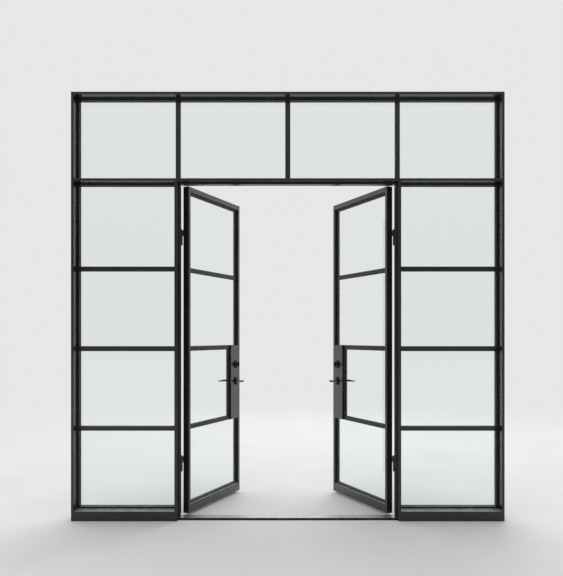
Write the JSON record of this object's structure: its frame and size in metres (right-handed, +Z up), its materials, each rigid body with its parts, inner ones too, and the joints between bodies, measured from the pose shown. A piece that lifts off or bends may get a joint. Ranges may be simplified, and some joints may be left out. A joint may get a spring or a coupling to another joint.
{
  "type": "glazed steel double door with sidelights and transom",
  "caption": "Dark steel-framed double door with levers, deadbolt and shoot bolts, set between fixed glazed sidelights under a glazed transom.",
  "frame": {"origin": "underside of the threshold, at the middle of the doorway and half way through the frame's depth", "axes": "+X to the right as seen from indoors, +Y points outdoors, +Z up; indoors is -Y"},
  "size_m": [3.112, 0.8904, 3.083],
  "materials": {
    "frame_paint": "satin near-black paint",
    "leaf_paint": "satin near-black paint",
    "glass": "clear toughened glass",
    "threshold_metal": "mill finish, dulled by feet",
    "rubber": "matt black",
    "hardware": "black, satin",
    "lever_bronze": "medium bronze, satin",
    "lock_steel": "brushed"
  },
  "bodies": {
    "frame": {"left_jamb": "frame_paint", "right_jamb": "frame_paint", "left_mullion": "frame_paint", "right_mullion": "frame_paint", "head_rail": "frame_paint", "transom_rail": "frame_paint", "base_rails": "frame_paint", "sidelight_bars": "frame_paint", "transom_bars": "frame_paint", "frame_beads": "frame_paint", "sidelight_glass": "glass", "transom_glass": "glass", "frame_setting_blocks": "rubber", "threshold": "threshold_metal", "door_stops": "frame_paint", "door_seals": "rubber", "frame_hinges": "frame_paint", "shoot_bolt_keeps": "lock_steel"},
    "left_leaf": {"left_hinge_stile": "leaf_paint", "left_lock_stile": "leaf_paint", "left_top_rail": "leaf_paint", "left_bottom_rail": "leaf_paint", "left_lock_box": "leaf_paint", "left_leaf_bars": "leaf_paint", "left_leaf_beads": "leaf_paint", "left_leaf_glass": "glass", "left_leaf_setting_blocks": "rubber", "left_leaf_hinges": "leaf_paint", "left_sweep": "rubber", "left_roses": "hardware", "shoot_bolt_case": "lock_steel", "strike_plates": "lock_steel"},
    "left_lever": {"left_inner_lever": "lever_bronze", "left_outer_lever": "lever_bronze", "left_spindle": "lock_steel"},
    "left_turn": {"left_turn": "hardware", "shoot_bolt_hub": "lock_steel"},
    "top_bolt": {"top_shoot_bolt": "lock_steel"},
    "bottom_bolt": {"bottom_shoot_bolt": "lock_steel"},
    "right_leaf": {"right_hinge_stile": "leaf_paint", "right_lock_stile": "leaf_paint", "right_top_rail": "leaf_paint", "right_bottom_rail": "leaf_paint", "right_lock_box": "leaf_paint", "right_leaf_bars": "leaf_paint", "right_leaf_beads": "leaf_paint", "right_leaf_glass": "glass", "right_leaf_setting_blocks": "rubber", "right_leaf_hinges": "leaf_paint", "right_sweep": "rubber", "right_roses": "hardware", "lock_cases": "lock_steel", "key_cylinder": "hardware", "astragal": "leaf_paint"},
    "right_lever": {"right_inner_lever": "lever_bronze", "right_outer_lever": "lever_bronze", "right_spindle": "lock_steel"},
    "right_turn": {"right_turn": "hardware"},
    "latch": {"latch_bolt": "lock_steel"},
    "deadbolt": {"deadbolt": "lock_steel"}
  },
  "joints": [
    {"name": "right_leaf_swing", "type": "hinge", "parent": "frame", "child": "right_leaf", "pos_m": [0.7925, 0.091, 0], "axis": [0, 0, -1], "range_deg": [-64, 46]},
    {"name": "left_leaf_swing", "type": "hinge", "parent": "frame", "child": "left_leaf", "pos_m": [-0.7925, 0.091, 0], "axis": [0, 0, 1], "range_deg": [-66, 44]},
    {"name": "right_lever_turn", "type": "hinge", "parent": "right_leaf", "child": "right_lever", "pos_m": [0.4398, 0.72061, 0.953], "axis": [0.8988, 0.4384, 0], "range_deg": [0, 45], "stiffness_Nm_per_rad": 1.2, "springref_deg": -28.65},
    {"name": "latch_slide", "type": "slide", "parent": "right_leaf", "child": "latch", "axis": [0.4384, -0.8988, 0], "range_m": [0, 0.012]},
    {"name": "right_thumb_turn", "type": "hinge", "parent": "right_leaf", "child": "right_turn", "pos_m": [0.4398, 0.72061, 1.093], "axis": [-0.8988, -0.4384, 0], "range_deg": [0, 90]},
    {"name": "deadbolt_slide", "type": "slide", "parent": "right_leaf", "child": "deadbolt", "axis": [-0.4384, 0.8988, 0], "range_m": [0, 0.025]},
    {"name": "left_lever_turn", "type": "hinge", "parent": "left_leaf", "child": "left_lever", "pos_m": [-0.46199, 0.73253, 0.953], "axis": [0.9135, -0.4067, 0], "range_deg": [0, 45], "stiffness_Nm_per_rad": 1.2, "springref_deg": -28.65},
    {"name": "left_thumb_turn", "type": "hinge", "parent": "left_leaf", "child": "left_turn", "pos_m": [-0.46199, 0.73253, 1.093], "axis": [0.9135, -0.4067, 0], "range_deg": [0, 90]},
    {"name": "top_bolt_slide", "type": "slide", "parent": "left_leaf", "child": "top_bolt", "axis": [0, 0, 1], "range_m": [0, 0.017]},
    {"name": "bottom_bolt_slide", "type": "slide", "parent": "left_leaf", "child": "bottom_bolt", "axis": [0, 0, -1], "range_m": [0, 0.017]}
  ],
  "couplings": [
    {"joint": "latch_slide", "follows": "right_lever_turn", "m_per_rad": 0.015279},
    {"joint": "right_thumb_turn", "follows": "deadbolt_slide", "rad_per_m": 62.832},
    {"joint": "left_thumb_turn", "follows": "top_bolt_slide", "rad_per_m": 92.4},
    {"joint": "bottom_bolt_slide", "follows": "top_bolt_slide", "ratio": 1}
  ]
}
